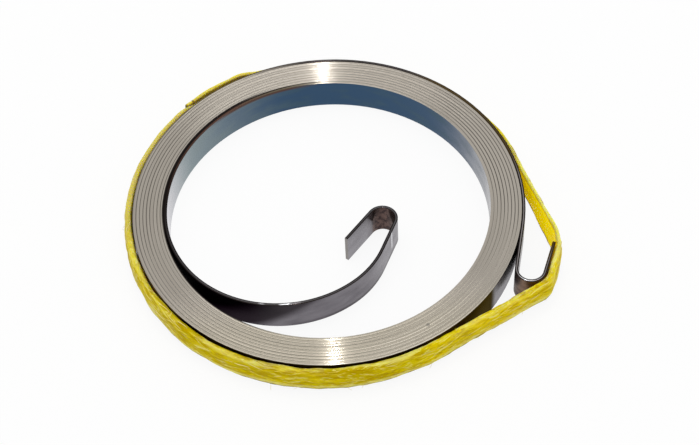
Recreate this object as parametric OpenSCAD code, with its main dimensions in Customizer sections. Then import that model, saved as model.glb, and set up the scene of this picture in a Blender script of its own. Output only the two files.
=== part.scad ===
// Recoil starter spring, wound and tied: a flat strip of spring steel coiled on
// edge, with a hook at each end, and the loop of twine that keeps it wound.
// Millimetres. The coil's axis is Z, the coil lies on z = 0, and the inner arm
// leaves the innermost turn on the X axis.

/* [Strip] */
// Width of the spring steel strip, the height of the coil as it lies flat
strip_width = 6; // [4:0.5:10]
// Thickness of the strip
strip_thickness = 0.55; // [0.4:0.05:0.8]

/* [Coil] */
// Outside radius of the wound coil
coil_radius = 35.15; // [32:0.05:45]
// Gap between one turn and the next
turn_gap = 0.065; // [0.05:0.005:0.15]
// Half turns of coil between the inner arm and the outer end
half_turns = 19; // [13:1:22]
// Part turn at the outside, before the strip runs straight to its outer hook, in degrees
outer_part_turn = 13.9; // [5:0.1:30]

/* [Inner arm and hook] */
// How much tighter than the innermost turn the arm bends as it leaves the coil
arm_lead_in = 6.6; // [4:0.1:9]
// How far the arm bends at that radius, in degrees
arm_lead_angle = 32.8; // [20:0.1:50]
// Bend radius of the middle of the arm, at the middle of the strip
arm_radius = 20.2; // [16:0.1:22]
// How far round the middle of the arm bends, in degrees
arm_angle = 92.6; // [80:0.1:105]
// Bend radius of the arm's last stretch before its hook
arm_end_radius = 16.7; // [12:0.1:20]
// How far round that last stretch bends, in degrees
arm_end_angle = 29.1; // [15:0.1:40]
// Straight length of the arm before its hook
arm_straight = 6.5; // [2:0.1:9]
// Inside radius of the inner hook's bend
inner_hook_radius = 2.2; // [1.5:0.05:3.5]
// How far round the inner hook bends, in degrees
inner_hook_angle = 165.2; // [140:0.1:180]
// Straight end leg of the inner hook
inner_hook_leg = 7.4; // [3:0.1:9]

/* [Outer hook] */
// Straight length from the coil to the outer hook's bend
outer_straight = 9.3; // [7:0.1:13]
// Inside radius of the outer hook's bend
outer_hook_radius = 2.2; // [1.5:0.05:3.5]
// How far round the outer hook bends, in degrees
outer_hook_angle = 172.5; // [155:0.1:180]
// Straight end leg of the outer hook
outer_hook_leg = 6.9; // [4:0.1:9]

/* [Retaining tie] */
// Thickness of the flattened twine
tie_thickness = 1.45; // [0.6:0.05:2]
// How far short of the strip's two edges the flattened twine stops
tie_margin = 0.7; // [0.7:0.05:1.2]
// How far below the middle of the strip the tie rides
tie_drop = 0.3; // [0:0.05:0.3]
// How much higher the tie rides at the front of the coil than at its middle
tie_lift = 0.35; // [0:0.05:0.35]
// Clearance between the tie and the steel
tie_clearance = 0.08; // [0.06:0.01:0.2]
// Where the sealed overlap of the tie's two ends begins, in degrees round the coil
lap_start = 109; // [90:1:120]
// How far round the coil the overlap runs, in degrees
lap_angle = 24; // [15:1:45]
// Extra thickness of the overlap
lap_thickness = 0.45; // [0.2:0.05:1]

/* [Hidden] */
// Bends of the ends and of the tie turn this many degrees at a step
bend_step = 3;
// Facets of a full turn of the coil
$fn = 240;

half_strip = strip_thickness / 2;
pitch = strip_thickness + turn_gap;

// The coil is wound of half turns, each half a pitch tighter than the last and
// struck from one of two centres on the X axis; number 0 is the part turn
// outside the first, and half turn k runs from 180 (k - 1) to 180 k degrees.
function turn_radius(k) = coil_radius - half_strip - k * pitch / 2;
function turn_centre(k) = (k % 2 == 0 ? -1 : 1) * pitch / 4;

inner_run = [
    [turn_radius(half_turns) - arm_lead_in, arm_lead_angle],
    [arm_radius, arm_angle],
    [arm_end_radius, arm_end_angle],
    [arm_straight],
    [inner_hook_radius + half_strip, inner_hook_angle],
    [inner_hook_leg]
];
outer_run = [
    [turn_radius(0), -outer_part_turn],
    [outer_straight],
    [outer_hook_radius + half_strip, outer_hook_angle],
    [outer_hook_leg]
];

// A run is a list of bends [radius, angle], left for a positive angle, and of
// straights [length]; walk() gives the stations [place, heading] along it.
function ahead(heading) = [cos(heading), sin(heading)];
function aside(heading) = [-sin(heading), cos(heading)];
function bend_centre(place, heading, bend) = place + sign(bend[1]) * bend[0] * aside(heading);
function along(place, heading, part, share) = len(part) == 1
    ? [place + share * part[0] * ahead(heading), heading]
    : let (turned = heading + share * part[1])
        [bend_centre(place, heading, part) - sign(part[1]) * part[0] * aside(turned), turned];
function steps(part) = len(part) == 1 ? 1 : ceil(abs(part[1]) / bend_step);
function walk(place, heading, run, i = 0) = i == len(run) ? [[place, heading]]
    : let (n = steps(run[i]), end = along(place, heading, run[i], 1))
        concat([for (j = [0 : n - 1]) along(place, heading, run[i], j / n)],
            walk(end[0], end[1], run, i + 1));

// The tie is a belt round four circles, taken in turn to the left: the back and
// front of the coil, the outer hook's bend, and the end of its leg.
hook_start = walk([turn_radius(0), 0], -90, [outer_run[0], outer_run[1]]);
hook_in = hook_start[len(hook_start) - 1];
hook_path = walk([turn_radius(0), 0], -90, outer_run);
hook_end = hook_path[len(hook_path) - 1];
shift = [turn_centre(0), 0];
belt = [
    [[turn_centre(1), 0], turn_radius(1) + half_strip],
    [[turn_centre(2), 0], turn_radius(2) + half_strip],
    [shift + bend_centre(hook_in[0], hook_in[1], outer_run[2]), outer_hook_radius + strip_thickness],
    [shift + hook_end[0], half_strip]
];
// Direction, square to the belt, in which it leaves one circle for the next
function leaves(a, b) = let (d = b[0] - a[0])
    atan2(d.y, d.x) - acos(min(1, (a[1] - b[1]) / norm(d)));
function turned_to(angle, from) = angle - 360 * floor((angle - from) / 360);
function lap_at(i, angle) = i == 0 && angle >= lap_start && angle <= lap_start + lap_angle
    ? lap_thickness : 0;
function belt_arc(i, out, lap) = let (
        n = len(belt),
        from = leaves(belt[(i + n - 1) % n], belt[i]),
        to = turned_to(leaves(belt[i], belt[(i + 1) % n]), from),
        count = ceil((to - from) / bend_step))
    [for (j = [0 : count]) let (angle = from + (to - from) * j / count)
        belt[i][0] + (belt[i][1] + out + lap * lap_at(i, turned_to(angle, 0))) * ahead(angle)];
function belt_loop(out, lap = 0) = [for (i = [0 : len(belt) - 1]) each belt_arc(i, out, lap)];

tie_height = strip_width - 2 * tie_margin;
tie_tilt = asin(tie_lift / coil_radius);

// Strip standing on edge along a run
module strip_run(place, heading, run) {
    path = walk(place, heading, run);
    linear_extrude(strip_width)
        polygon(concat(
            [for (s = path) s[0] + half_strip * aside(s[1])],
            [for (i = [len(path) - 1 : -1 : 0]) path[i][0] - half_strip * aside(path[i][1])]));
}

// The steel: coil, inner arm with its hook and outer hook, one strip throughout
module spring_strip() {
    color([0.66, 0.63, 0.60])
    union() {
        for (k = [1 : half_turns])
            translate([turn_centre(k), 0, 0])
            rotate([0, 0, 180 * (k - 1)])
            rotate_extrude(angle = 180)
            translate([turn_radius(k) - half_strip, 0])
            square([strip_thickness, strip_width]);
        translate([turn_centre(half_turns), 0, 0])
        rotate([0, 0, 180 * half_turns])
            strip_run([turn_radius(half_turns), 0], 90, inner_run);
        translate([turn_centre(0), 0, 0])
            strip_run([turn_radius(0), 0], -90, outer_run);
    }
}

// The twine: one flattened loop round the coil and the outer hook, its ends
// overlapped and sealed at the back
module retaining_tie() {
    color([0.85, 0.72, 0.10])
    translate([0, 0, strip_width / 2 - tie_drop])
    rotate([-tie_tilt, 0, 0])
    linear_extrude(tie_height, center = true)
    difference() {
        polygon(belt_loop(tie_clearance + tie_thickness, 1));
        polygon(belt_loop(tie_clearance));
    }
}

spring_strip();
retaining_tie();
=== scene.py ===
import math
import random

import bpy
from mathutils import Matrix, Vector, noise


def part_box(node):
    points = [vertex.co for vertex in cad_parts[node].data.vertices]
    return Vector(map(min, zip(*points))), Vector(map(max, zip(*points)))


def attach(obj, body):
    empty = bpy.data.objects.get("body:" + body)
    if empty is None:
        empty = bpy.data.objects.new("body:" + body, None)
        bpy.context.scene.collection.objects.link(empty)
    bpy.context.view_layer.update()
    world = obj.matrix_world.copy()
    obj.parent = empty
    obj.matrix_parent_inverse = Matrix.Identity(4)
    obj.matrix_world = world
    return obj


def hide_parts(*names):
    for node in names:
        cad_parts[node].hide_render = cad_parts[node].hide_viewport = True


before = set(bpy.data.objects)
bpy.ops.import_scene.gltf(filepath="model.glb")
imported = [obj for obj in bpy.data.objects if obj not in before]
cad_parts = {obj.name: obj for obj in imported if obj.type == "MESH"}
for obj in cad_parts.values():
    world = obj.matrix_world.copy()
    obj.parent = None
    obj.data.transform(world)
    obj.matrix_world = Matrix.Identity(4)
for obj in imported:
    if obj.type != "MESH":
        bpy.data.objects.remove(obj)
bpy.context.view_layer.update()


# Spring strip: one length of spring steel, slit from blued sheet, wound on edge into a coil and bent
# to a hook at each end. Its round-edged section is drawn once and swept from the outer hook's tip,
# round every turn of the coil and along the inner arm to the inner hook's tip.
mm = 0.001
strip_low, strip_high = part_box("spring_strip")
strip_width = strip_high[2] - strip_low[2]
strip_thickness = 0.55 * mm
half_strip = strip_thickness / 2
edge_round = 0.035 * mm
edge_fullness = 0.5
edge_segments = 3
turn_gap = 0.065 * mm
pitch = strip_thickness + turn_gap
# The real turns bear on each other, so the strip is drawn thick enough to leave only this much gap
seen_gap = 0.022 * mm
coil_radius = 35.15 * mm
half_turns = 19
outer_part_turn = 13.9
arm_lead_in = 6.6 * mm
arm_lead_angle = 32.8
arm_radius = 20.2 * mm
arm_angle = 92.6
arm_end_radius = 16.7 * mm
arm_end_angle = 29.1
arm_straight = 6.5 * mm
inner_hook_radius = 2.2 * mm
inner_hook_angle = 165.2
inner_hook_leg = 7.4 * mm
outer_straight = 9.3 * mm
outer_hook_radius = 2.2 * mm
outer_hook_angle = 172.5
outer_hook_leg = 6.9 * mm
# Bends tighter than this are drawn with longer steps, in degrees
tight_bend = 10 * mm
tight_step = 6
wide_step = 3


def turn_radius(k):
    return coil_radius - half_strip - k * pitch / 2


def turn_centre(k):
    return Vector((pitch / 4 if k % 2 else -pitch / 4, 0, 0))


# Runs of strip, walked away from the coil: a bend is (radius, degrees to the left), a straight (length,)
inner_hook_bend = (inner_hook_radius + half_strip, inner_hook_angle)
outer_hook_bend = (outer_hook_radius + half_strip, outer_hook_angle)
inner_run = [
    (turn_radius(half_turns) - arm_lead_in, arm_lead_angle),
    (arm_radius, arm_angle),
    (arm_end_radius, arm_end_angle),
    (arm_straight,),
    inner_hook_bend,
    (inner_hook_leg,),
]
outer_run = [
    (turn_radius(0), -outer_part_turn),
    (outer_straight,),
    outer_hook_bend,
    (outer_hook_leg,),
]


def ahead(heading):
    return Vector((math.cos(math.radians(heading)), math.sin(math.radians(heading)), 0))


def aside(heading):
    return ahead(heading + 90)


def bend_centre(place, heading, part):
    return place + math.copysign(part[0], part[1]) * aside(heading)


def along(place, heading, part, share=1):
    """Place and heading after a share of one part of a run."""
    if len(part) == 1:
        return place + share * part[0] * ahead(heading), heading
    turned = heading + share * part[1]
    return bend_centre(place, heading, part) - math.copysign(part[0], part[1]) * aside(turned), turned


def length_of(part):
    return part[0] if len(part) == 1 else part[0] * math.radians(abs(part[1]))


def off_the_coil(run):
    """Place and heading at the end of a run that leaves the outside of the coil."""
    place, heading = turn_centre(0) + Vector((turn_radius(0), 0, 0)), -90
    for part in run:
        place, heading = along(place, heading, part)
    return place, heading


def strip_steps(part):
    if len(part) == 1:
        return 1
    return math.ceil(abs(part[1]) / (wide_step if part[0] > tight_bend else tight_step))


def sweep(place, heading, run, steps_in):
    """Sweep the outline being edited along a run; gives the place, heading and distance of each ring."""
    rings = [(place, heading, 0)]
    run_so_far = 0
    for part in run:
        steps = steps_in(part)
        if len(part) == 1:
            for step in range(steps):
                bpy.ops.mesh.extrude_region_move(
                    TRANSFORM_OT_translate={"value": part[0] / steps * ahead(heading)})
        else:
            bpy.ops.mesh.spin(
                steps=steps,
                angle=-math.radians(part[1]),
                center=bend_centre(place, heading, part),
                axis=(0, 0, 1),
            )
        for step in range(1, steps + 1):
            spot, turned = along(place, heading, part, step / steps)
            rings.append((spot, turned, run_so_far + length_of(part) * step / steps))
        place, heading = along(place, heading, part)
        run_so_far += length_of(part)
    bpy.ops.mesh.select_all(action="SELECT")
    bpy.ops.mesh.normals_make_consistent(inside=False)
    bpy.ops.object.mode_set(mode="OBJECT")
    return rings


tip_place, tip_heading = off_the_coil(outer_run)
outer_end = [part if len(part) == 1 else (part[0], -part[1]) for part in reversed(outer_run)]
coil_turns = [(turn_radius(k), 180) for k in range(1, half_turns + 1)]
winding = outer_end + coil_turns + inner_run
outer_end_length = sum(length_of(part) for part in outer_end)
arm_start = outer_end_length + sum(length_of(part) for part in coil_turns)
strip_length = sum(length_of(part) for part in winding)

bpy.ops.object.select_all(action="DESELECT")
bpy.ops.mesh.primitive_plane_add(
    size=1,
    location=tip_place + Vector((0, 0, strip_width / 2)),
    rotation=(math.pi / 2, 0, math.radians(tip_heading + 180 + 90)),
)
strip = bpy.context.object
strip.name = "wound_strip"
strip.scale = (pitch - seen_gap, strip_width, 1)
bpy.ops.object.transform_apply(location=True, rotation=True, scale=True)
bpy.ops.object.mode_set(mode="EDIT")
bpy.ops.mesh.select_all(action="SELECT")
bpy.ops.mesh.bevel(offset=edge_round, segments=edge_segments, profile=edge_fullness, affect="VERTICES")
strip_rings = sweep(tip_place, tip_heading + 180, winding, strip_steps)
bpy.ops.object.shade_smooth_by_angle(angle=math.radians(40))
bpy.ops.object.modifier_add(type="WEIGHTED_NORMAL")
strip.modifiers["WeightedNormal"].keep_sharp = True
bpy.ops.object.modifier_apply(modifier="WeightedNormal")

# How far along the strip each point is, which face it is on and which way the strip runs there
section_points = len(strip.data.vertices) // len(strip_rings)
run_values, side_values, lay_values = [], [], []
for point in strip.data.vertices:
    spot, turned, run = strip_rings[point.index // section_points]
    run_values.append(run)
    side_values.append((point.co - spot).dot(aside(turned)) / half_strip)
    lay_values.extend(ahead(turned))
strip.data.attributes.new("run", "FLOAT", "POINT").data.foreach_set("value", run_values)
strip.data.attributes.new("side", "FLOAT", "POINT").data.foreach_set("value", side_values)
strip.data.attributes.new("lay", "FLOAT_VECTOR", "POINT").data.foreach_set("vector", lay_values)


class Graph:
    """A material's node tree, with short ways to add nodes and join them."""

    def __init__(self, name):
        self.material = bpy.data.materials.new(name)
        self.material.use_nodes = True
        self.nodes = self.material.node_tree.nodes
        self.links = self.material.node_tree.links
        self.shader = self.nodes["Principled BSDF"]

    def add(self, kind, inputs=None, **settings):
        made = self.nodes.new("ShaderNode" + kind)
        for name, value in settings.items():
            setattr(made, name, value)
        for socket, value in (inputs or {}).items():
            self.join(value, made.inputs[socket])
        return made

    def join(self, value, socket):
        if isinstance(value, bpy.types.NodeSocket):
            self.links.new(value, socket)
        else:
            socket.default_value = value

    def attribute(self, name, output="Fac"):
        return self.add("Attribute", attribute_name=name).outputs[output]

    def math(self, operation, first, second=0.0):
        return self.add("Math", {0: first, 1: second}, operation=operation).outputs[0]

    def times(self, first, second):
        return self.math("MULTIPLY", first, second)

    def plus(self, first, second):
        return self.math("ADD", first, second)

    def larger(self, first, second):
        return self.math("MAXIMUM", first, second)

    def away(self, value, middle=0.0):
        """How far a value is from a middle one, to either side."""
        if middle:
            value = self.math("SUBTRACT", value, middle)
        return self.math("ABSOLUTE", value)

    def fade(self, value, low, high, at_low=0.0, at_high=1.0):
        ramp = {"Value": value, "From Min": low, "From Max": high, "To Min": at_low, "To Max": at_high}
        return self.add("MapRange", ramp, interpolation_type="SMOOTHSTEP").outputs["Result"]

    def mix(self, share, first, second):
        made = self.add("Mix", {"Factor": share}, data_type="RGBA")
        self.join(first, made.inputs[6])
        self.join(second, made.inputs[7])
        return made.outputs[2]

    def noise(self, vector, detail, roughness=0.5, scale=1.0):
        values = {"Vector": vector, "Scale": scale, "Detail": detail, "Roughness": roughness}
        return self.add("TexNoise", values).outputs["Fac"]

    def vector(self, x, y, z):
        return self.add("CombineXYZ", {0: x, 1: y, 2: z}).outputs[0]

    def axes(self, vector):
        return self.add("SeparateXYZ", {0: vector}).outputs

    def vectors(self, operation, first, second, output="Vector"):
        return self.add("VectorMath", {0: first, 1: second}, operation=operation).outputs[output]

    def dot(self, first, second):
        return self.vectors("DOT_PRODUCT", first, second, "Value")


# Bright slit edges and blued faces, with the darker heat tints that the two annealed ends keep, and tones
# painted in for light, shade and reflections
bright_edge = (0.500, 0.458, 0.398, 1)
worn_edge = (0.395, 0.358, 0.308, 1)
lit_right_edge = (0.640, 0.590, 0.520, 1)
pale_rim_edge = (0.95, 0.88, 0.76, 1)
shaded_front_edge = (0.350, 0.315, 0.235, 1)
shaded_back_right_edge = (0.345, 0.314, 0.272, 1)
nick_edge = (0.150, 0.140, 0.130, 1)
tan_and_twine_reflection = (0.085, 0.052, 0.008, 1)
brown_edge = (0.088, 0.045, 0.033, 1)
olive_edge = (0.105, 0.088, 0.060, 1)
dark_edge = (0.016, 0.012, 0.011, 1)
oxide_and_highlight_middle = (0.10, 0.096, 0.100, 1)
oxide_and_highlight_line = (0.30, 0.275, 0.27, 1)
blue_face = (0.034, 0.075, 0.138, 1)
teal_face = (0.046, 0.090, 0.135, 1)
pale_face = (0.255, 0.312, 0.322, 1)
paler_wall_face = (0.430, 0.420, 0.425, 1)
glare_face = (0.720, 0.700, 0.735, 1)
grey_face = (0.190, 0.177, 0.196, 1)
worn_grey_face = (0.148, 0.136, 0.154, 1)
leg_face = (0.275, 0.263, 0.285, 1)
glint_face = (0.75, 0.75, 0.78, 1)
shade_between_turns = (0.035, 0.030, 0.026, 1)
shade_black = (0.014, 0.009, 0.014, 1)
violet_face = (0.036, 0.029, 0.035, 1)
shaded_face = (0.036, 0.029, 0.010, 1)
tie_shade_face = (0.110, 0.086, 0.042, 1)
brown_heat = (0.185, 0.115, 0.075, 1)
dark_heat = (0.070, 0.034, 0.022, 1)
purple_heat = (0.038, 0.023, 0.023, 1)
russet_heat = (0.118, 0.074, 0.064, 1)
sheared_end = (0.25, 0.235, 0.225, 1)
full_tint = (1, 1, 1, 1)
shaded_reflection_tint = (0.3, 0.3, 0.3, 1)
edge_roughness = 0.16

# Places along the strip, from the outer hook's tip, and one small nick in the coil's edge
dark_outer_end = 100 * mm
dark_inner_end = arm_start - 44 * mm
outer_bend = outer_hook_leg + length_of(outer_hook_bend) / 2
leg_start = strip_length - inner_hook_leg
inner_bend = leg_start - length_of(inner_hook_bend) / 2
glint_start = leg_start - length_of(inner_hook_bend) - 2.6 * mm
facing_arm = arm_start - 2 * length_of(coil_turns[-1]) + 12 * mm
behind_tie = outer_end_length + length_of(coil_turns[0]) + math.radians(141) * coil_turns[1][0]
nick_place = (15.1 * mm, -27.92 * mm, 6 * mm)

steel = Graph("blued_spring_steel")
run = steel.attribute("run")
side = steel.attribute("side")
lay = steel.attribute("lay", "Vector")
surface = steel.add("NewGeometry").outputs["Normal"]
on_edge = steel.fade(steel.away(steel.axes(surface)["Z"]), 0.35, 0.65)
off_middle = steel.away(side)
spot_on_coil = steel.add("TexCoord").outputs["Object"]
height = steel.axes(spot_on_coil)["Z"]
to_back = steel.axes(spot_on_coil)["Y"]
to_right = steel.dot(spot_on_coil, (1.0, 0.3, 0.0))
to_left = steel.dot(spot_on_coil, (-1.0, 0.35, 0.0))
to_front_right = steel.dot(spot_on_coil, (0.62, -0.78, 0.0))
inwards = steel.vectors("CROSS_PRODUCT", (0, 0, 1), lay)
at_back_right = steel.dot(inwards, (-0.50, -0.866, 0.0))

# Marks of rolling and heat, by waves a metre along the strip, up it and across it
rolled_lines = steel.noise(
    steel.vector(steel.times(run, 60.0), steel.times(height, 9000.0), steel.times(side, 3.0)), 4.0, 0.6)
patches = steel.noise(steel.vector(steel.times(run, 160.0), steel.times(height, 420.0), side), 4.0, 0.55)
stains = steel.noise(steel.vector(steel.times(run, 1100.0), steel.times(height, 900.0), 0.0), 4.0, 0.65)
turn_tone = steel.noise(steel.vector(steel.times(run, 7.0), side, 0.0), 2.0)
each_turn = steel.noise(steel.vector(steel.times(run, 9.0), 0.0, 0.0), 1.0)
grain = steel.noise(steel.vector(steel.times(run, 8.0), steel.times(side, 9.0), 0.0), 2.0)
uneven_run = steel.plus(run, steel.times(steel.math("SUBTRACT", patches, 0.5), 10 * mm))


def zone(first, second, at_first=0.0, at_second=1.0):
    """A share that changes between two distances along the strip."""
    return steel.fade(uneven_run, first, second, at_first, at_second)


def spot_zone(middle, inside, outside, most=1.0):
    """A share that is full within one distance of a place on the strip and nil beyond another."""
    return steel.fade(steel.away(run, middle), inside, outside, most, 0.0)


# The face that looks to the coil's middle: blue at the back, paler towards the arm and the right, with a
# painted glare by the arm's start and painted shade, nearly black, on the wall across from the arm's root
inside = steel.mix(steel.fade(patches, 0.45, 0.70), blue_face, teal_face)
inside = steel.mix(zone(arm_start - 98 * mm, arm_start - 68 * mm, 1.0, 0.0), inside, paler_wall_face)
inside = steel.mix(zone(arm_start - 42 * mm, arm_start - 10 * mm, 0.0, 0.9), inside, pale_face)
inside = steel.mix(zone(arm_start - 18 * mm, arm_start + 1 * mm, 0.0, 0.95), inside, glare_face)
inside = steel.mix(zone(arm_start + 40 * mm, arm_start + 55 * mm), inside, grey_face)
# Painted shade in the narrow wedge across from the arm's root
inside = steel.mix(spot_zone(facing_arm, 22 * mm, 32 * mm), inside, shade_black)
# Painted shade on the inner faces hidden between the turns
inside = steel.mix(zone(arm_start - 205 * mm, arm_start - 195 * mm, 1.0, 0.0), inside, shade_between_turns)
inside = steel.mix(zone(outer_end_length - 4 * mm, outer_end_length + 4 * mm, 1.0, 0.0), inside, grey_face)
inside = steel.mix(zone(leg_start, leg_start + 2 * mm), inside, leg_face)

# The face that looks outwards: dark grey; painted shade where the arm leaves the coil, nearly black and
# then violet, and darker along the arm's foot; behind the tie painted shade, browned by a painted
# reflection of the tie; and a painted glint by the inner hook
outside = steel.mix(steel.fade(patches, 0.35, 0.70), grey_face, worn_grey_face)
slanted = steel.times(steel.math("SUBTRACT", height, strip_width / 2), 1.75)
arm_run = steel.math("SUBTRACT", steel.plus(run, steel.times(patches, 2 * mm)), slanted)
arm_shade_soft_end = steel.fade(arm_run, arm_start + 31.5 * mm, arm_start + 36 * mm, 1.0, 0.0)
outside = steel.mix(arm_shade_soft_end, outside, violet_face)
deep_arm_shade = steel.fade(arm_run, arm_start + 14 * mm, arm_start + 30 * mm, 1.0, 0.0)
outside = steel.mix(deep_arm_shade, outside, shade_black)
outside = steel.mix(zone(arm_start + 47 * mm, arm_start + 55 * mm, 0.0, 0.6), outside, leg_face)
# Painted shade on the outer faces hidden between the turns
outside = steel.mix(zone(arm_start - 30 * mm, arm_start - 10 * mm, 1.0, 0.0), outside, shade_between_turns)
first_turn = zone(outer_end_length + 225 * mm, outer_end_length + 230 * mm, 1.0, 0.0)
outside = steel.mix(first_turn, outside, grey_face)
shaded = spot_zone(behind_tie - 30 * mm, 29.5 * mm, 31.5 * mm)
outside = steel.mix(shaded, outside, shaded_face)
# Painted shade on the upper part of the wall just past the tie, by where the outer straight leaves the
# coil
shade_below_rim = steel.times(
    spot_zone(behind_tie + 12 * mm, 7 * mm, 10 * mm, 0.95), steel.fade(height, 2.6 * mm, 3.8 * mm))
outside = steel.mix(shade_below_rim, outside, shaded_face)
# Painted shade, browned by a painted reflection of the yellow tie, at the end of the shade behind the tie
outside = steel.mix(spot_zone(behind_tie - 7.5 * mm, 6.5 * mm, 9.0 * mm), outside, tie_shade_face)
glint = steel.times(
    spot_zone(glint_start, 0.05 * mm, 0.40 * mm), steel.fade(height, 1.2 * mm, 2.4 * mm))
outside = steel.mix(glint, outside, glint_face)
foot = steel.times(
    zone(arm_start + 30 * mm, arm_start + 44 * mm), steel.fade(height, 0.4 * mm, 1.0 * mm, 0.65, 0.0))
outside = steel.mix(foot, outside, violet_face)

# Both faces together, with the mottled heat tints of the two hooks' bends
faces = steel.mix(steel.fade(side, -0.5, 0.5), outside, inside)
bend_tint = steel.mix(steel.fade(patches, 0.40, 0.60), brown_heat, dark_heat)
faces = steel.mix(spot_zone(outer_bend, 3 * mm, 6 * mm), faces, bend_tint)
hook_tint = steel.mix(steel.fade(stains, 0.38, 0.60), purple_heat, russet_heat)
in_hook = steel.times(spot_zone(inner_bend, 3.2 * mm, 4.2 * mm), steel.fade(side, -0.2, 0.4))
faces = steel.mix(in_hook, faces, hook_tint)
slit_side = steel.times(
    steel.fade(height, 5.25 * mm, 5.75 * mm), spot_zone(arm_start - 34 * mm, 5 * mm, 13 * mm))
faces = steel.mix(slit_side, faces, brown_edge)

# The coil's bright edges: turns of uneven tone; painted light and shade round the coil; painted shade
# between the turns along their rims at the left and the right, uneven from turn to turn; paler rims at the
# front right; painted shade in the narrow gaps beside the arm; and tan beside the outer end, yellowed by a
# painted reflection of the twine
bright = steel.mix(steel.fade(rolled_lines, 0.35, 0.75), bright_edge, worn_edge)
bright = steel.mix(steel.fade(turn_tone, 0.40, 0.62, 0.0, 0.6), bright, worn_edge)
# Painted light and shade, by how the lamps fall round the coil: lighter edges at the right, darker ones at
# the front and at the back right
at_right = steel.fade(to_right, 27 * mm, 31.5 * mm)
bright = steel.mix(steel.times(at_right, 0.22), bright, lit_right_edge)
bright = steel.mix(steel.fade(to_back, -18 * mm, -28 * mm, 0.0, 0.5), bright, shaded_front_edge)
bright = steel.mix(steel.fade(at_back_right, 0.86, 0.98, 0.0, 0.75), bright, shaded_back_right_edge)
# Painted shade between the turns, along each edge's rims at the left and the right, more on some turns
# than others
rim_shade = steel.plus(steel.times(at_right, 0.68), steel.fade(to_left, 26 * mm, 32 * mm, 0.0, 0.5))
rim_shade = steel.plus(rim_shade, steel.fade(each_turn, 0.3, 0.7, -0.3, 0.2))
rim = steel.fade(off_middle, 0.68, 0.98)
bright = steel.mix(steel.times(rim, steel.larger(rim_shade, 0.0)), bright, shade_between_turns)
front_right_pale_rims = steel.times(steel.fade(to_front_right, 26 * mm, 31 * mm, 0.0, 0.3), rim)
bright = steel.mix(front_right_pale_rims, bright, pale_rim_edge)
from_nick = steel.vectors("DISTANCE", spot_on_coil, nick_place, "Value")
bright = steel.mix(steel.fade(from_nick, 0.15 * mm, 0.45 * mm, 0.6, 0.0), bright, nick_edge)
# Painted shade in the narrow gaps: beside the arm's root and between the innermost turn and the next
arm_gap_shade = steel.times(spot_zone(facing_arm - 6 * mm, 18 * mm, 32 * mm), steel.fade(side, 0.1, 0.5))
inner_gap_shade = steel.times(
    spot_zone(facing_arm - 29 * mm, 14 * mm, 25 * mm), steel.fade(side, -0.25, 0.15))
bright = steel.mix(steel.larger(arm_gap_shade, inner_gap_shade), bright, dark_edge)
# Tan heat tint beside the outer end, yellowed by a painted reflection of the twine
tanned = zone(dark_outer_end + 4 * mm, dark_outer_end + 44 * mm, 0.95, 0.0)
tanned = steel.times(tanned, steel.fade(side, -0.45, 0.10, 1.0, 0.0))
bright = steel.mix(tanned, bright, tan_and_twine_reflection)

# The dark edge of the arm and its hook, paler along its middle, where the oxide is thin and a painted
# highlight runs, with two painted glints
edge_middle = steel.fade(off_middle, 0.20, 0.55, 1.0, 0.0)
paler = steel.plus(
    zone(arm_start - 6 * mm, arm_start + 14 * mm, 0.0, 0.6), spot_zone(inner_bend, 3 * mm, 8 * mm, 0.5))
dark_inner = steel.mix(steel.times(edge_middle, paler), dark_edge, oxide_and_highlight_middle)
browned = steel.mix(zone(dark_inner_end + 4 * mm, dark_inner_end + 20 * mm), olive_edge, brown_edge)
browned = steel.mix(steel.fade(side, -0.45, 0.0, 1.0, 0.0), browned, dark_edge)
before_arm = zone(dark_inner_end + 24 * mm, dark_inner_end + 42 * mm, 1.0, 0.0)
dark_inner = steel.mix(before_arm, dark_inner, browned)
small_glint = steel.times(spot_zone(arm_start + 28.6 * mm, 0.1 * mm, 0.8 * mm), 0.35)
arm_glint = steel.larger(spot_zone(arm_start + 32.6 * mm, 0.4 * mm, 1.3 * mm), small_glint)
dark_inner = steel.mix(steel.times(arm_glint, edge_middle), dark_inner, glint_face)

# The dark edge of the outer end, with a fine light line that fades on the coil, where the oxide is thin
# and a painted highlight runs; a painted reflection of the twine in tan beside it; and a painted glint at
# the bend
fine_line = steel.fade(off_middle, 0.15, 0.40, 1.0, 0.0)
fine_line = steel.times(fine_line, zone(outer_end_length, outer_end_length + 10 * mm, 1.0, 0.3))
fine_line = steel.times(fine_line, zone(3 * mm, 9 * mm, 0.2, 1.0))
dark_outer = steel.mix(fine_line, dark_edge, oxide_and_highlight_line)
twine_reflection_share = steel.larger(
    zone(2 * mm, 9 * mm, 0.9, 0.0), spot_zone(outer_end_length + 20 * mm, 9 * mm, 18 * mm, 0.6))
dark_outer = steel.mix(twine_reflection_share, dark_outer, tan_and_twine_reflection)
bend_glint = steel.times(fine_line, spot_zone(outer_bend + 0.3 * mm, 0.3 * mm, 2.0 * mm, 0.8))
dark_outer = steel.mix(bend_glint, dark_outer, glint_face)

on_outer_end = zone(dark_outer_end - 12 * mm, dark_outer_end + 4 * mm, 1.0, 0.0)
on_inner_end = zone(dark_inner_end - 10 * mm, dark_inner_end + 6 * mm)
edges = steel.mix(on_outer_end, bright, dark_outer)
edges = steel.mix(on_inner_end, edges, dark_inner)
sheared = steel.fade(steel.away(steel.dot(surface, lay)), 0.6, 0.9)
tints = steel.mix(sheared, steel.mix(on_edge, faces, edges), sheared_end)
steel.join(tints, steel.shader.inputs["Base Color"])
steel.shader.inputs["Metallic"].default_value = 1.0
face_roughness = steel.fade(patches, 0.2, 0.8, 0.18, 0.27)
roughness = steel.add("Mix", {"Factor": on_edge, 2: face_roughness, 3: edge_roughness}).outputs[0]
steel.join(roughness, steel.shader.inputs["Roughness"])
steel.shader.inputs["Anisotropic"].default_value = 1.0
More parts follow.
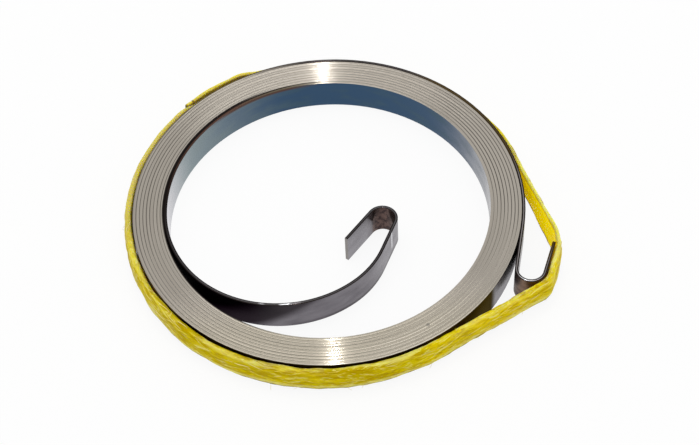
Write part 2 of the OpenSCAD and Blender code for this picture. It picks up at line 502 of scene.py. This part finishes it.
# Painted shade in the reflections as well: a duller specular tint on the outward face where the arm leaves
# the coil and behind the tie
reflection_shade = steel.larger(spot_zone(arm_start + 10 * mm, 16 * mm, 24 * mm), shaded)
reflection_shade = steel.times(reflection_shade, steel.fade(side, 0.5, -0.5))
steel.join(steel.mix(reflection_shade, full_tint, shaded_reflection_tint), steel.shader.inputs["Specular Tint"])
steel.join(steel.vectors("CROSS_PRODUCT", surface, lay), steel.shader.inputs["Tangent"])

# No slit edge is quite flat: each leans a little, and more so at the back, so that a lamp draws a
# streak of light across all the turns
lean = steel.plus(steel.times(side, 0.08), steel.fade(grain, 0.25, 0.75, -0.24, 0.24))
lean = steel.plus(lean, steel.fade(to_back, 5 * mm, 25 * mm, 0.0, 0.12))
lean = steel.times(lean, on_edge)
leaned = steel.add("VectorMath", {0: inwards, "Scale": lean}, operation="SCALE").outputs[0]
crowned = steel.vectors("ADD", surface, leaned)
crowned = steel.add("VectorMath", {0: crowned}, operation="NORMALIZE").outputs[0]
scratches = {"Height": rolled_lines, "Strength": 0.05, "Distance": 0.02 * mm, "Normal": crowned}
steel.join(steel.add("Bump", scratches).outputs["Normal"], steel.shader.inputs["Normal"])
strip.data.materials.append(steel.material)
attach(strip, "root")
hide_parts("spring_strip")


# Retaining tie: a length of split-film twine, pulled flat round the coil and the outer hook, its end
# lapped over its beginning at the back left and sealed there with heat. A flattened ring is swept
# along the tie's way and its points are then moved into ridges, lumps and the lap.
tie_gap = 0.06 * mm
tie_half = 0.75 * mm
lap_from = 109
lap_turn = 25.4
ring_points = 44
ring_step = 0.55 * mm

# The four posts that it is pulled round: the back and the front of the coil, the hook's bend and its tip
bend_place, bend_heading = off_the_coil(outer_run[:2])
posts = [
    (turn_centre(1), turn_radius(1) + half_strip),
    (turn_centre(2), turn_radius(2) + half_strip),
    (bend_centre(bend_place, bend_heading, outer_hook_bend), outer_hook_bend[0] + half_strip),
    (tip_place, half_strip),
]


def tangent_angle(first, second):
    """Direction, in degrees, from two posts to the straight that a tie pulls over them."""
    way = second[0] - first[0]
    narrowing = max(-1, min(1, (first[1] - second[1]) / way.length))
    return math.degrees(math.atan2(way.y, way.x) - math.acos(narrowing))


def tie_steps(part):
    return max(1, round(length_of(part) / ring_step))


leaves = [tangent_angle(post, posts[(n + 1) % len(posts)]) for n, post in enumerate(posts)]
tie_run = []
for n, post in enumerate(posts):
    after = posts[(n + 1) % len(posts)]
    from_angle = lap_from if n == 0 else leaves[n - 1]
    tie_run.append((post[1] + tie_gap + tie_half, (leaves[n] - from_angle) % 360))
    if n > 0:
        way = (after[0] - post[0]).length
        tie_run.append((math.sqrt(way ** 2 - (post[1] - after[1]) ** 2),))
back_radius = posts[0][1] + tie_gap + tie_half
tie_run.append((back_radius, (lap_from - leaves[-1]) % 360))
once_round = sum(length_of(part) for part in tie_run)
tie_run.append((back_radius, lap_turn))
tie_length = sum(length_of(part) for part in tie_run)
part_ends = [0]
for part in tie_run:
    part_ends.append(part_ends[-1] + length_of(part))

lap_place = posts[0][0] + back_radius * ahead(lap_from)
lap_heading = lap_from + 90
bpy.ops.object.select_all(action="DESELECT")
bpy.ops.mesh.primitive_circle_add(
    vertices=ring_points,
    radius=tie_half,
    fill_type="NGON",
    location=lap_place + Vector((0, 0, strip_width / 2)),
    rotation=(math.pi / 2, 0, math.radians(lap_heading + 90)),
)
tie = bpy.context.object
tie.name = "twine_tie"
bpy.ops.object.transform_apply(location=True, rotation=True, scale=True)
bpy.ops.object.mode_set(mode="EDIT")
bpy.ops.mesh.select_all(action="SELECT")
tie_rings = sweep(lap_place, lap_heading, tie_run, tie_steps)

# Where the tie runs low or high, thick or thin: distance, then underside, top and thickness in mm
left, leave, at_bend, off_bend, at_tip, off_tip, on_coil = part_ends[1:8]
front_arc = tie_run[1]
front = left + (270 - 180) / front_arc[1] * length_of(front_arc)
back = on_coil + (once_round - on_coil) * 0.75
lap_length = length_of(tie_run[-1])
tie_shape = [
    (0, 0.50, 4.40, 0.55),
    (lap_length - 1.8 * mm, 0.60, 5.30, 0.85),
    (lap_length + 0.2 * mm, 0.60, 5.60, 1.45),
    (left * 0.60, 0.65, 5.55, 1.55),
    (left, 0.60, 5.85, 1.60),
    (front, 0.55, 5.85, 1.48),
    (leave, 0.68, 5.85, 1.45),
    (at_bend, 1.10, 6.10, 1.45),
    (off_bend, 1.00, 6.15, 1.50),
    (at_tip, 1.00, 6.10, 1.45),
    (off_tip, 0.95, 5.95, 1.45),
    (off_tip + 2.5 * mm, 0.95, 5.95, 0.75),
    (on_coil - 8 * mm, 0.80, 5.65, 0.80),
    (on_coil, 0.70, 5.40, 1.10),
    (back - 25 * mm, 0.25, 4.50, 0.95),
    (back, 0.20, 4.35, 0.85),
    (once_round, 0.45, 5.10, 0.90),
    (once_round + 3 * mm, 0.60, 5.60, 0.98),
    (tie_length - 1.6 * mm, 0.60, 5.60, 0.98),
    (tie_length - 0.6 * mm, 0.70, 5.70, 1.02),
    (tie_length, 1.80, 5.00, 0.40),
]
ridge_height = 0.12 * mm
fibre_height = 0.07 * mm
lump_height = 0.15 * mm
crease_height = 0.10 * mm
lap_climb = 0.75 * mm
lap_climb_from = once_round - 2 * mm
lap_climb_length = 5 * mm
tip_corner = (at_tip + off_tip) / 2
tip_corner_length = 1.6 * mm
tip_corner_squash = 0.55
# The free stretch between the hook's tip and the coil is a thin film that leans outwards
film_start_length = 2.5 * mm
film_end_length = 18 * mm
film_out = tie_half / 2
film_slope = 0.15


def tie_section(run):
    """Underside, top and thickness of the tie at a distance along it."""
    for first, second in zip(tie_shape, tie_shape[1:]):
        if run <= second[0]:
            break
    share = max(0, min(1, (run - first[0]) / (second[0] - first[0])))
    share = share * share * (3 - 2 * share)
    return [(a + (b - a) * share) * mm for a, b in zip(first[1:], second[1:])]


def tie_pose(run):
    """Place and heading of the middle of the tie's way at a distance along it."""
    spot, turned = lap_place, lap_heading
    for n, part in enumerate(tie_run):
        if run <= part_ends[n + 1] or n == len(tie_run) - 1:
            return along(spot, turned, part, (run - part_ends[n]) / length_of(part))
        spot, turned = along(spot, turned, part)


def tie_point(run, turn, proud=0):
    """A point on the tie's surface: turn 0 faces out, 90 up, 180 in; proud stands off the surface."""
    spot, turned = tie_pose(run)
    low, high, thickness = tie_section(run)
    flat, rise = math.cos(math.radians(turn)), math.sin(math.radians(turn))
    out = thickness / 2 * math.copysign(abs(flat) ** 0.6, flat)
    up = (high - low) / 2 * math.copysign(abs(rise) ** 0.85, rise)
    slant = up + 0.10 * run
    ridges = noise.noise(Vector((run * 90, slant * 900, out * 900)))
    fibres = noise.noise(Vector((run * 230, slant * 2600, out * 2600 + 7)))
    lumps = noise.noise(Vector((run * 230, up * 200, 3 + out * 200)))
    creases = noise.noise(Vector((run * 600, slant * 1500 + run * 300, out * 1500 + 19)))
    swell = ridge_height * ridges + fibre_height * fibres
    swell += lump_height * lumps
    swell += crease_height * creases
    swell += proud
    out += swell * flat
    up += swell * rise
    climb = max(0, min(1, (run - lap_climb_from) / lap_climb_length)) * lap_climb
    corner = abs(run - tip_corner) / tip_corner_length
    out -= max(0, out) * tip_corner_squash * math.exp(-corner * corner)
    loose = max(0, min(1, (run - off_tip) / film_start_length, (on_coil - run) / film_end_length))
    film = loose * loose * (3 - 2 * loose) * (film_out + film_slope * up)
    out = max(out, -thickness / 2) + thickness / 2 - tie_half + climb + film
    return spot + out * -aside(turned) + Vector((0, 0, (low + high) / 2 + up))


run_values, turn_values = [], []
for point in tie.data.vertices:
    spot, turned, run = tie_rings[point.index // ring_points]
    offset = point.co - spot
    around = math.degrees(math.atan2(offset.z - strip_width / 2, -offset.dot(aside(turned))))
    point.co = tie_point(run, around)
    run_values.append(run)
    turn_values.extend((math.cos(math.radians(around)), math.sin(math.radians(around)), 0))
tie.data.attributes.new("run", "FLOAT", "POINT").data.foreach_set("value", run_values)
tie.data.attributes.new("turn", "FLOAT_VECTOR", "POINT").data.foreach_set("vector", turn_values)
bpy.ops.object.shade_smooth_by_angle(angle=math.radians(60))

mustard = (0.50, 0.375, 0.000, 1)
lemon = (0.70, 0.56, 0.002, 1)
amber = (0.40, 0.25, 0.000, 1)
straw_and_glint = (0.84, 0.75, 0.22, 1)
bleached = (0.84, 0.65, 0.003, 1)
faded = (0.58, 0.49, 0.155, 1)
olive_shade = (0.24, 0.19, 0.03, 1)
under_shadow = (0.070, 0.055, 0.012, 1)
backlit_gold = (0.97, 0.76, 0.000, 1)
crease_shade = (0.40, 0.30, 0.012, 1)
scorched = (0.120, 0.085, 0.025, 1)
film_glow = (1.0, 0.62, 0.0, 1)
film_glow_strength = 0.27
twine_depth = (2.4 * mm, 2.0 * mm, 0.1 * mm)

twine = Graph("yellow_twine")
run = twine.attribute("run")
turn = twine.axes(twine.attribute("turn", "Vector"))
around = twine.math("DEGREES", twine.math("ARCTAN2", turn["Y"], turn["X"]))
height = twine.axes(twine.add("TexCoord").outputs["Object"])["Z"]
outer_or_inner = twine.times(turn["X"], 1.5)


def fibre_noise(climb, lengthwise, crosswise):
    """Noise drawn out along fibres that climb as they run, with so many waves a metre each way."""
    level = twine.plus(height, twine.times(run, climb))
    way = twine.vector(twine.times(run, lengthwise), twine.times(level, crosswise), outer_or_inner)
    return twine.noise(way, 3.0, 0.6)


long_fibres = fibre_noise(0.05, 130.0, 1100.0)
rising = fibre_noise(0.30, 380.0, 2100.0)
falling = fibre_noise(-0.26, 380.0, 2100.0)
threads = twine.larger(rising, falling)
gaps = twine.math("MINIMUM", rising, falling)

# Parts of the tie, by the way a point of its surface faces and by the distance along it
on_top = twine.fade(around, 30.0, 80.0)
low_rim = twine.fade(twine.away(around, -34.0), 6.0, 15.0, 1.0, 0.0)
shadow_underneath = twine.fade(twine.away(around, -95.0), 40.0, 48.0, 1.0, 0.0)
not_outwards = twine.fade(twine.away(around), 15.0, 60.0)
half_film = (on_coil - off_tip) / 2
free_span = twine.fade(
    twine.away(run, (off_tip + on_coil) / 2), half_film + 2 * mm, half_film + 6 * mm, 1.0, 0.0)
backlit_film = twine.times(twine.fade(twine.away(around), 124.0, 142.0), free_span)
sealed_end = twine.fade(run, tie_length - 0.9 * mm, tie_length - 0.5 * mm)
burnt_spot = twine.fade(twine.away(run, tie_length - 2.1 * mm), 0.1 * mm, 0.35 * mm, 0.7, 0.0)
burnt_spot = twine.times(burnt_spot, twine.fade(height, 4.3 * mm, 5.0 * mm))
sealed_end = twine.larger(sealed_end, burnt_spot)
pulled_smooth = twine.larger(
    twine.fade(run, left - 6 * mm, left + 12 * mm, 1.0, 0.0), twine.fade(run, off_tip, on_coil))
ruffled = twine.fade(twine.times(pulled_smooth, not_outwards), 0.0, 1.0, 1.0, 0.4)

# Fibres first, then what weather and the sealing heat do to them; the pale threads are painted glints,
# painted shade lies along the creases, against the coil and under the tie, and the free stretch's inner
# face is painted bright with the light that comes through the film
tints = twine.mix(twine.fade(long_fibres, 0.38, 0.62), mustard, lemon)
tints = twine.mix(twine.fade(run, front + 12 * mm, leave, 0.0, 0.6), tints, bleached)
tints = twine.mix(twine.times(ruffled, twine.fade(gaps, 0.47, 0.35, 0.0, 0.65)), tints, amber)
# The pale threads: painted glints
tints = twine.mix(twine.times(ruffled, twine.fade(threads, 0.58, 0.68, 0.0, 0.8)), tints, straw_and_glint)
wisps = twine.times(on_top, twine.fade(long_fibres, 0.42, 0.65, 0.0, 0.7))
tints = twine.mix(twine.times(wisps, twine.fade(run, left, front, 0.45, 1.0)), tints, straw_and_glint)
weathered = twine.larger(
    twine.fade(run, left - 6 * mm, left + 12 * mm, 0.75, 0.0), twine.fade(run, on_coil, back, 0.0, 0.68))
tints = twine.mix(twine.times(weathered, not_outwards), tints, faded)
# Painted shade on the side of the tie that lies against the coil
shade_against_coil = twine.larger(
    twine.fade(run, left, left + 16 * mm, 0.9, 0.0),
    twine.fade(run, on_coil - 4 * mm, on_coil + 6 * mm, 0.0, 0.9),
)
tints = twine.mix(twine.times(shade_against_coil, twine.fade(around, 100.0, 128.0)), tints, olive_shade)
pale_rim = twine.times(free_span, twine.fade(around, 40.0, 70.0))
pale_rim = twine.times(pale_rim, twine.fade(around, 118.0, 132.0, 0.6, 0.0))
tints = twine.mix(pale_rim, tints, straw_and_glint)
# Painted shade along the free stretch's creases
for crease_line, crease_share in ((136.0, 0.75), (52.0, 0.60)):
    crease = twine.fade(twine.away(around, crease_line), 4.0, 12.0, crease_share, 0.0)
    tints = twine.mix(twine.times(free_span, crease), tints, crease_shade)
tints = twine.mix(twine.times(low_rim, twine.fade(rising, 0.40, 0.60, 0.35, 0.85)), tints, straw_and_glint)
# Painted shadow along the tie's underside
tints = twine.mix(twine.times(shadow_underneath, 0.95), tints, under_shadow)
# The free stretch's inner face painted bright, for the light that comes through the thin film
tints = twine.mix(twine.times(backlit_film, 0.9), tints, backlit_gold)
tints = twine.mix(sealed_end, tints, scorched)
twine.join(tints, twine.shader.inputs["Base Color"])
twine.join(twine.fade(threads, 0.5, 0.7, 0.50, 0.25), twine.shader.inputs["Roughness"])
twine.shader.inputs["Specular IOR Level"].default_value = 0.05
# A painted glow, for the light that comes through the thin film of the free stretch
twine.shader.inputs["Emission Color"].default_value = film_glow
twine.join(twine.times(backlit_film, film_glow_strength), twine.shader.inputs["Emission Strength"])
twine.shader.inputs["Subsurface Weight"].default_value = 1.0
twine.shader.inputs["Subsurface Radius"].default_value = twine_depth
twine.shader.inputs["Subsurface Scale"].default_value = 1.0
ribbing = twine.plus(threads, twine.times(long_fibres, 0.5))
ribs = {"Height": ribbing, "Strength": twine.times(ruffled, 0.6), "Distance": 0.25 * mm}
twine.join(twine.add("Bump", ribs).outputs["Normal"], twine.shader.inputs["Normal"])
tie.data.materials.append(twine.material)
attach(tie, "root")
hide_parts("retaining_tie")


# Loose strands: fibres that have split from the twine's film. Most lie along the tie, held by their
# ends, and a few short ones stand off it as fuzz. Each is a thin tapered tube on the tie's surface.
strand_count = 150
strand_radii = (0.04, 0.05, 0.05, 0.06, 0.08)
strand_tube = 0.05 * mm
knot_step = 0.4 * mm
fuzz_count = 34
fuzz_knots = 4
fuzz_radius = 0.022 * mm
hair_angle = 250.7
hair_radius = 0.03 * mm
shuffle = random.Random(11)
bpy.ops.object.select_all(action="DESELECT")
bpy.ops.curve.primitive_nurbs_path_add()
strands = bpy.context.object
strands.name = "twine_strands"
strands.data.splines.clear()
strands.data.dimensions = "3D"
strands.data.bevel_depth = strand_tube
strands.data.bevel_resolution = 1
strands.data.use_fill_caps = True


def draw_strand(points, radius):
    """A strand through points on the tie, thinner at its ends and kept above the table."""
    spline = strands.data.splines.new("POLY")
    spline.points.add(len(points) - 1)
    for n, (knot, point) in enumerate(zip(spline.points, points)):
        knot.co = (point.x, point.y, max(point.z, radius), 1)
        thin_end = min(1, 0.35 + 2.5 * min(n, len(points) - 1 - n) / len(points))
        knot.radius = radius / strand_tube * thin_end


for n in range(strand_count):
    start = shuffle.uniform(left, tie_length - 6 * mm)
    length = shuffle.uniform(1.2 * mm, 4.0 * mm)
    from_turn = shuffle.uniform(-72, 125)
    drift = shuffle.gauss(0, 6) * length / mm
    radius = shuffle.choice(strand_radii) * mm
    knots = max(4, round(length / knot_step))
    points = []
    for k in range(knots + 1):
        share = k / knots
        proud = 0.1 * radius - radius * abs(2 * share - 1) ** 4
        points.append(tie_point(start + length * share, from_turn + drift * share, proud))
    draw_strand(points, radius)
for n in range(fuzz_count):
    start = shuffle.uniform(0, tie_length)
    from_turn = shuffle.choice((shuffle.uniform(-95, -40), shuffle.uniform(40, 100)))
    length = shuffle.uniform(0.3, 0.9) * mm
    slope = shuffle.uniform(-1.5, 1.5)
    points = []
    for k in range(fuzz_knots + 1):
        share = k / fuzz_knots
        run_there = min(max(start + slope * length * share, 0), tie_length)
        points.append(tie_point(run_there, from_turn, length * share * (1.2 - 0.4 * share)))
    draw_strand(points, fuzz_radius)
hair_run = left + (hair_angle - 180) / front_arc[1] * length_of(front_arc)
hair = [tie_point(hair_run + 0.03 * k * mm, -55, 0.22 * k * mm) for k in range(7)]
draw_strand(hair, hair_radius)
bpy.ops.object.convert(target="MESH")
strands = bpy.context.object
bpy.ops.object.mode_set(mode="EDIT")
bpy.ops.mesh.select_all(action="SELECT")
bpy.ops.mesh.remove_doubles(threshold=0.0005 * mm)
bpy.ops.object.mode_set(mode="OBJECT")
bpy.ops.object.shade_smooth()

golden_strand = (0.60, 0.46, 0.004, 1)
glint_strand = (0.90, 0.80, 0.27, 1)
glint_speckle = (0.92, 0.83, 0.40, 1)
strand = Graph("twine_strand")
which = strand.add("NewGeometry").outputs["Random Per Island"]
speckle = strand.noise(strand.add("TexCoord").outputs["Object"], 2.0, scale=900.0)
# The pale strands and speckles are painted glints
strand_colour = strand.mix(strand.fade(which, 0.35, 1.0), golden_strand, glint_strand)
strand_colour = strand.mix(strand.fade(speckle, 0.5, 0.8, 0.0, 0.5), strand_colour, glint_speckle)
strand.join(strand_colour, strand.shader.inputs["Base Color"])
strand.shader.inputs["Roughness"].default_value = 0.3
strands.data.materials.append(strand.material)
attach(strands, "root")


# Stage: a white table under a softbox, seen from the photograph's side. A small bright lamp under the
# softbox draws the two streaks on the slit edges.
bpy.ops.object.select_all(action="DESELECT")
bpy.ops.mesh.primitive_plane_add(size=4)
floor = bpy.context.object
floor.name = "floor"
paper = Graph("white_paper")
paper.shader.inputs["Base Color"].default_value = (0.9, 0.9, 0.9, 1)
paper.shader.inputs["Roughness"].default_value = 0.9
paper_glow = paper.add("Emission", {"Color": (1, 1, 1, 1), "Strength": 1.0})
seen = paper.add("LightPath").outputs
seen_by_eye = paper.larger(seen["Is Camera Ray"], seen["Is Glossy Ray"])
seen_by_eye = paper.larger(seen_by_eye, seen["Is Transmission Ray"])
glow_share = paper.times(seen_by_eye, 0.90)
paper_mix = paper.add("MixShader", {0: glow_share, 1: paper.shader.outputs[0], 2: paper_glow.outputs[0]})
paper.join(paper_mix.outputs[0], paper.nodes["Material Output"].inputs["Surface"])
floor.data.materials.append(paper.material)

world = bpy.data.worlds.new("studio")
bpy.context.scene.world = world
world.use_nodes = True
sky = world.node_tree.nodes["Background"]
sky.inputs["Color"].default_value = (1, 1, 1, 1)
sky.inputs["Strength"].default_value = 0.80

view_turn = 1.85
view_rise = 51.8
view_roll = 2.944
view_distance = 326.0 * mm
view_target = Vector((3.689 * mm, -0.102 * mm, 0))
photo_width = 699
focal_pixels = 1808.9
facing = Matrix.Rotation(math.radians(-view_turn), 3, "Z")
tilt = facing @ Matrix.Rotation(math.radians(90 - view_rise), 3, "X")
bpy.ops.object.camera_add()
camera = bpy.context.object
camera.rotation_euler = (tilt @ Matrix.Rotation(math.radians(-view_roll), 3, "Z")).to_euler()
camera.location = view_target + tilt @ Vector((0, 0, view_distance))
camera.data.sensor_width = 36
camera.data.lens = camera.data.sensor_width * focal_pixels / photo_width
camera.data.clip_start = 0.01
bpy.context.scene.camera = camera

# Each lamp hangs a little lower than the one before: name, width, depth and power
lamp_place = facing @ Vector((-0.005, 0.10, 0.50))
lamp_drop = 0.01
for name, width, depth, power in (("softbox", 0.45, 0.25, 0.48), ("streak_lamp", 0.0065, 0.080, 0.145)):
    bpy.ops.object.light_add(type="AREA", location=lamp_place, rotation=(0, 0, math.radians(-view_turn)))
    lamp = bpy.context.object
    lamp.name = name
    lamp.data.shape = "RECTANGLE"
    lamp.data.size = width
    lamp.data.size_y = depth
    lamp.data.energy = power
    lamp_place.z -= lamp_drop
bpy.context.scene.view_settings.view_transform = "Standard"
